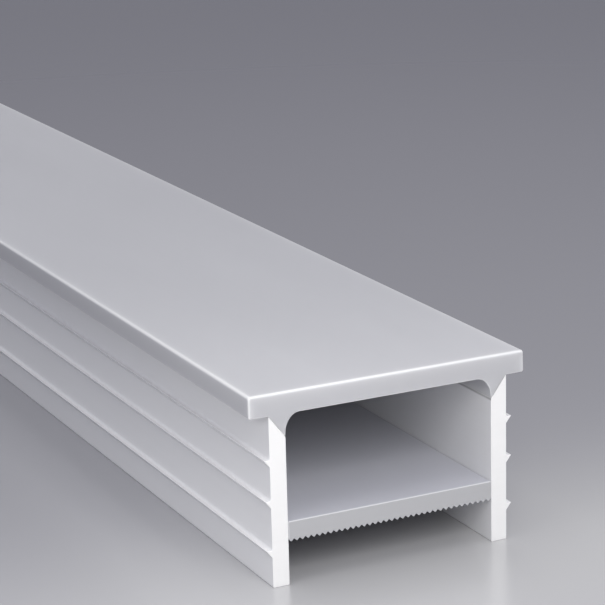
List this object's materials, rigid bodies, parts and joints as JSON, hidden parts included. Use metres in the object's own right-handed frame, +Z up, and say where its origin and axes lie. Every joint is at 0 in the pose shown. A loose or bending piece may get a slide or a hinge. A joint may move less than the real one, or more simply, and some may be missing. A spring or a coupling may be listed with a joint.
{
  "type": "silicone led channel",
  "caption": "Length of T-section silicone channel for an LED strip: light-spreading cap, two barbed side walls and a shelf that carries the strip.",
  "frame": {"origin": "middle of the length and width, on the plane of the two wall feet", "axes": "X across the section, +Y along the length, +Z up from the feet to the light-spreading cap"},
  "size_m": [0.02, 1, 0.013],
  "materials": {
    "diffuser_silicone": "satin translucent silicone, light grey",
    "white_silicone": "satin opaque white silicone",
    "shelf_silicone": "satin grey silicone"
  },
  "bodies": {
    "root": {"diffuser_cap": "diffuser_silicone", "left_side_wall": "white_silicone", "right_side_wall": "white_silicone", "strip_shelf": "shelf_silicone"}
  },
  "joints": []
}
